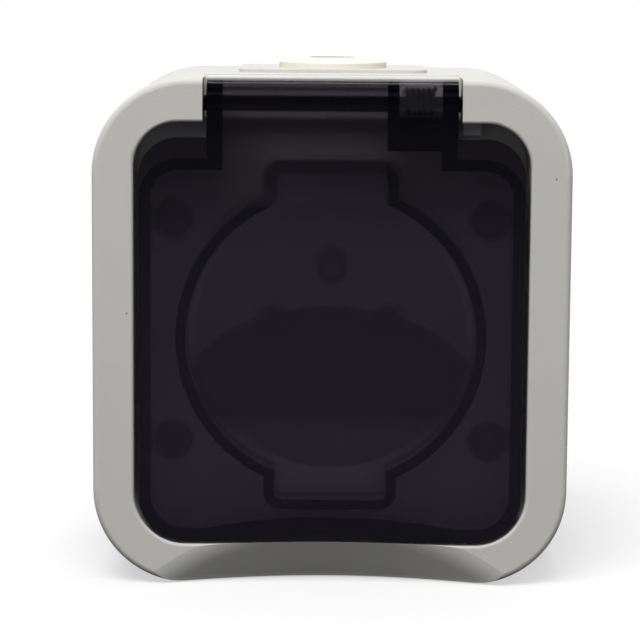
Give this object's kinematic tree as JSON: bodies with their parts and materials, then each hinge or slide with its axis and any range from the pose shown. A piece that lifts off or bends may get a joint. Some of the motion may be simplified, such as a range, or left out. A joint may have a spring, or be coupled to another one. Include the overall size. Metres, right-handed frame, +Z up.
{
  "type": "outdoor weatherproof socket",
  "caption": "Surface-mounted outdoor mains socket: grey wall box and frame, sprung smoked hinged lid, round plug pot with earth pin, cable grommet on top.",
  "frame": {"origin": "middle of the back face, on the wall plane", "axes": "+Z up the wall, +X right seen from the front, +Y into the wall"},
  "size_m": [0.075, 0.05, 0.0822],
  "materials": {
    "grey_housing": "fine moulded grain",
    "grey_insert": "moulded",
    "smoked_lid": "smoked, clear, polished",
    "grey_seal": "soft rubber",
    "grommet_rubber": "soft off-white",
    "carrier_plastic": "moulded",
    "contact_brass": "rolled sheet",
    "pin_metal": "nickel plated",
    "dark_steel": "blackened",
    "steel": "zinc plated"
  },
  "bodies": {
    "housing": {"base_box": "grey_housing", "front_frame": "grey_housing", "box_seal": "grey_seal", "wall_seals": "grey_seal", "hinge_pin": "steel", "lid_spring": "steel", "socket_insert": "grey_insert", "lid_seal": "grey_seal", "contact_carrier": "carrier_plastic", "carrier_lid": "carrier_plastic", "live_contact": "contact_brass", "neutral_contact": "contact_brass", "live_terminal": "contact_brass", "neutral_terminal": "contact_brass", "earth_terminal": "contact_brass", "earth_pin": "pin_metal", "earth_strap": "contact_brass", "cover_screws": "dark_steel", "terminal_screws": "steel", "carrier_screws": "steel", "cable_grommet": "grommet_rubber"},
    "lid": {"lid": "smoked_lid"}
  },
  "joints": [
    {"name": "lid_hinge", "type": "hinge", "parent": "housing", "child": "lid", "pos_m": [0, -0.046, 0.036], "axis": [-1, 0, 0], "range_deg": [0, 110], "stiffness_Nm_per_rad": 0.006, "springref_deg": -45.84, "deforming": ["lid_spring"]}
  ]
}
